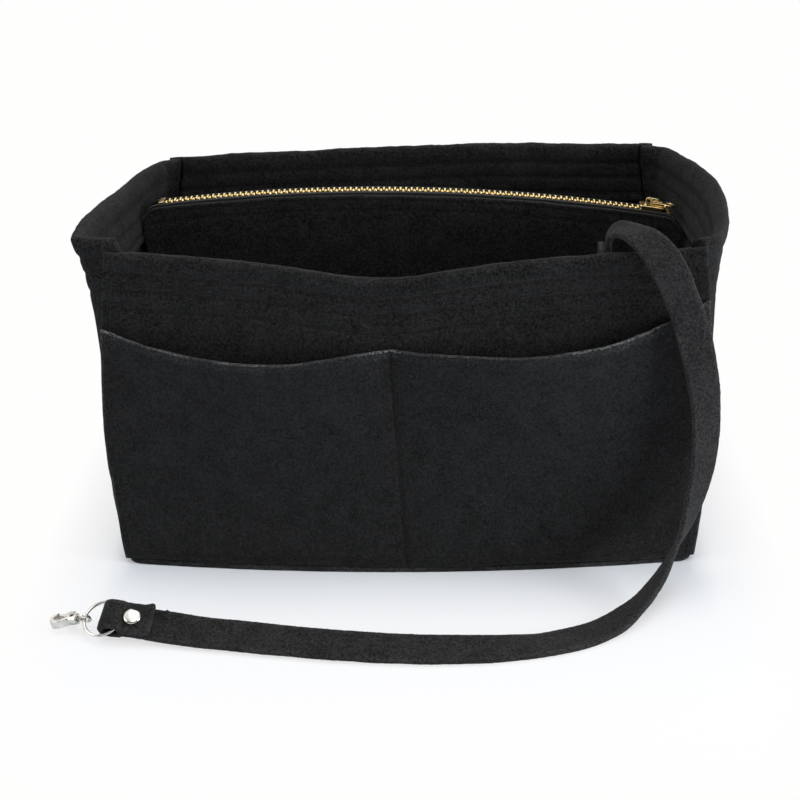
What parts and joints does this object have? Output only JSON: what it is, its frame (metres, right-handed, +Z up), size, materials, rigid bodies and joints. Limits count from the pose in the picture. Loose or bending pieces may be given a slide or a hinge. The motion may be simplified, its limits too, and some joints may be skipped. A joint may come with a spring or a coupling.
{
  "type": "handbag organiser insert",
  "caption": "Open-topped felt organiser insert for a handbag, with a zip pouch across its middle, two front slip pockets and a felt key strap with a ring and a swivel clasp",
  "frame": {"origin": "middle of the base's underside, on the surface that the bag stands on", "axes": "+X to the right as seen from the front, +Y from the front to the back, +Z up"},
  "size_m": [0.2989, 0.25, 0.1584],
  "materials": {
    "felt": "matte",
    "strap_felt": "matte",
    "zip_tape": "matte",
    "gold": "polished",
    "nickel": "polished"
  },
  "bodies": {
    "bag": {"base_panel": "felt", "front_wall": "felt", "back_wall": "felt", "left_end_wall": "felt", "right_end_wall": "felt", "front_pocket_panel": "felt", "pouch_front_panel": "felt", "pouch_back_panel": "felt", "zip_tape_front": "zip_tape", "zip_tape_back": "zip_tape", "zip_chain_front": "gold", "zip_chain_back": "gold", "zip_top_stop_front": "gold", "zip_top_stop_back": "gold", "zip_bottom_stop": "gold", "key_strap": "strap_felt", "strap_root_rivet": "nickel", "strap_end_rivet": "nickel", "root_ring": "nickel", "root_tab": "felt"},
    "slider": {"zip_slider": "gold"},
    "pull": {"zip_pull": "gold"},
    "ring": {"end_ring": "nickel"},
    "eye": {"swivel_eye": "nickel"},
    "clasp": {"clasp_body": "nickel", "gate_pin": "nickel", "gate_spring": "nickel"},
    "gate": {"clasp_gate": "nickel"}
  },
  "joints": [
    {"name": "zip_run", "type": "hinge", "parent": "bag", "child": "slider", "pos_m": [-0.025, 0.03, -0.7525], "axis": [0, -1, 0], "range_deg": [0, 14.5]},
    {"name": "pull_swing", "type": "hinge", "parent": "slider", "child": "pull", "pos_m": [0.11855, 0.03, 0.13952], "axis": [0, -1, 0], "range_deg": [0, 170]},
    {"name": "ring_tilt", "type": "hinge", "parent": "bag", "child": "ring", "pos_m": [-0.12233, -0.14576, 0.00885], "axis": [0.1482, 0.8549, 0.4972], "range_deg": [0, 24]},
    {"name": "eye_swing", "type": "hinge", "parent": "ring", "child": "eye", "pos_m": [-0.13769, -0.14207, 0.00708], "axis": [0.1482, 0.8549, 0.4972], "range_deg": [-60, 90]},
    {"name": "clasp_swivel", "type": "hinge", "parent": "eye", "child": "clasp", "pos_m": [-0.13769, -0.14207, 0.00708], "axis": [-0.9215, 0.3018, -0.2443], "continuous": true},
    {"name": "gate_hinge", "type": "hinge", "parent": "clasp", "child": "gate", "pos_m": [-0.14475, -0.13619, 0.00493], "axis": [-0.2322, 0.076, 0.9697], "range_deg": [0, 30], "stiffness_Nm_per_rad": 0.01, "springref_deg": -17.19}
  ]
}
